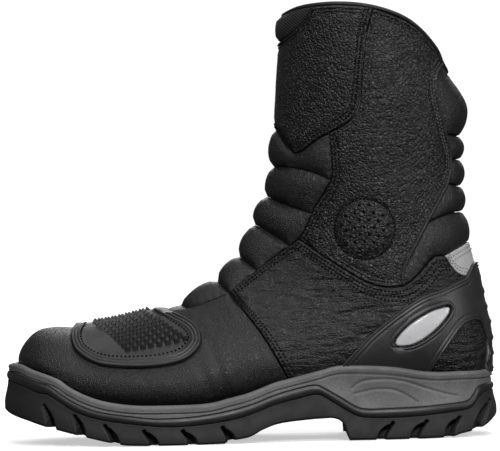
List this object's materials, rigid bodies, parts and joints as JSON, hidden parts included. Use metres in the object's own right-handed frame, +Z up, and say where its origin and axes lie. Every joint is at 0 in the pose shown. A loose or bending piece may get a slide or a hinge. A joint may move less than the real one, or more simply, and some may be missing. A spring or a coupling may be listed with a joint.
{
  "type": "motorcycle riding boot",
  "caption": "Ankle-high leather riding boot with ribbed flex pads, moulded heel cup, shift pad, side zip and lugged sole.",
  "frame": {"origin": "on the ground, under the middle of the boot's bounding box", "axes": "+Z up; -X towards the toe and +X towards the heel; +Y towards the inner side of a left foot and -Y towards its outer side"},
  "size_m": [0.3054, 0.1096, 0.2682],
  "materials": {
    "leather": "black pebble-grain leather, satin",
    "pad_leather": "black smooth leather over foam, satin",
    "binding_leather": "black rolled leather edge, satin",
    "ribbed_textile": "black ribbed stretch textile, matt",
    "lining": "dark knitted mesh lining, matt",
    "footbed_fabric": "dark felt over foam, matt",
    "foam": "open-cell foam, matt",
    "board": "pressed fibre board, matt",
    "outsole_rubber": "black fine-textured rubber, matt",
    "midsole_rubber": "dark grey foamed rubber, matt",
    "shift_rubber": "black moulded rubber, semi-matt",
    "moulded_plastic": "dark grey moulded plastic, satin",
    "reflector": "light grey retroreflective film, semi-gloss",
    "reflective_tape": "silver reflective fabric tape, semi-gloss",
    "zip_metal": "black-lacquered zinc, satin",
    "zip_tape": "black woven tape, matt",
    "hook_loop": "black hook-and-loop pile, matt",
    "spring_steel": "rolled steel, brushed"
  },
  "bodies": {
    "foot": {"outsole": "outsole_rubber", "midsole": "midsole_rubber", "shank": "spring_steel", "insole_board": "board", "footbed": "footbed_fabric", "lining_foot": "lining", "lining_ankle": "lining", "vamp": "leather", "quarter_outer": "leather", "quarter_inner": "leather", "rear_reflective_strip": "reflective_tape", "shift_pad": "shift_rubber", "toe_puff": "board", "heel_stiffener": "board", "heel_cup": "moulded_plastic", "heel_reflector_outer": "reflector", "heel_reflector_inner": "reflector", "instep_pad_1": "pad_leather", "instep_pad_2": "pad_leather", "instep_pad_3": "pad_leather", "instep_pad_4": "pad_leather", "calf_pad_5": "pad_leather"},
    "shaft": {"lining_shaft": "lining", "shaft_panel_outer": "leather", "shaft_panel_inner_front": "leather", "shaft_panel_inner_rear": "leather", "shin_panel": "leather", "collar_gusset": "ribbed_textile", "collar_binding": "binding_leather", "instep_pad_5": "pad_leather", "instep_pad_6": "pad_leather", "calf_pad_1": "pad_leather", "calf_pad_2": "pad_leather", "calf_pad_3": "pad_leather", "calf_pad_4": "pad_leather", "shin_guard": "moulded_plastic", "ankle_guard_outer": "moulded_plastic", "ankle_guard_inner": "moulded_plastic", "shaft_foam_outer": "foam", "shaft_foam_inner": "foam", "zip_tape_front": "zip_tape", "zip_tape_rear": "zip_tape", "zip_chain": "zip_metal", "closure_flap_margin": "leather", "loop_patch": "hook_loop"},
    "zip_slider": {"zip_slider": "zip_metal"},
    "zip_pull": {"zip_pull": "zip_metal"},
    "closure_flap": {"closure_flap": "leather", "hook_patch": "hook_loop"}
  },
  "joints": [
    {"name": "ankle_flex", "type": "hinge", "parent": "foot", "child": "shaft", "pos_m": [0.076, 0, 0.13], "axis": [0, -1, 0], "range_deg": [-6, 15], "stiffness_Nm_per_rad": 8, "deforming": ["instep_pad_3", "instep_pad_4", "calf_pad_5", "lining_ankle"]},
    {"name": "zip_slide", "type": "slide", "parent": "shaft", "child": "zip_slider", "axis": [0, -0.0755, -0.9971], "range_m": [0, 0.092]},
    {"name": "zip_pull_swing", "type": "hinge", "parent": "zip_slider", "child": "zip_pull", "pos_m": [0.06751, 0.04844, 0.20968], "axis": [0.9888, 0.1491, -0.0113], "range_deg": [0, 160]},
    {"name": "closure_flap_open", "type": "hinge", "parent": "shaft", "child": "closure_flap", "pos_m": [0.0566, 0.0472, 0.2415], "axis": [0, 0.0403, 0.9992], "range_deg": [0, 150]}
  ]
}
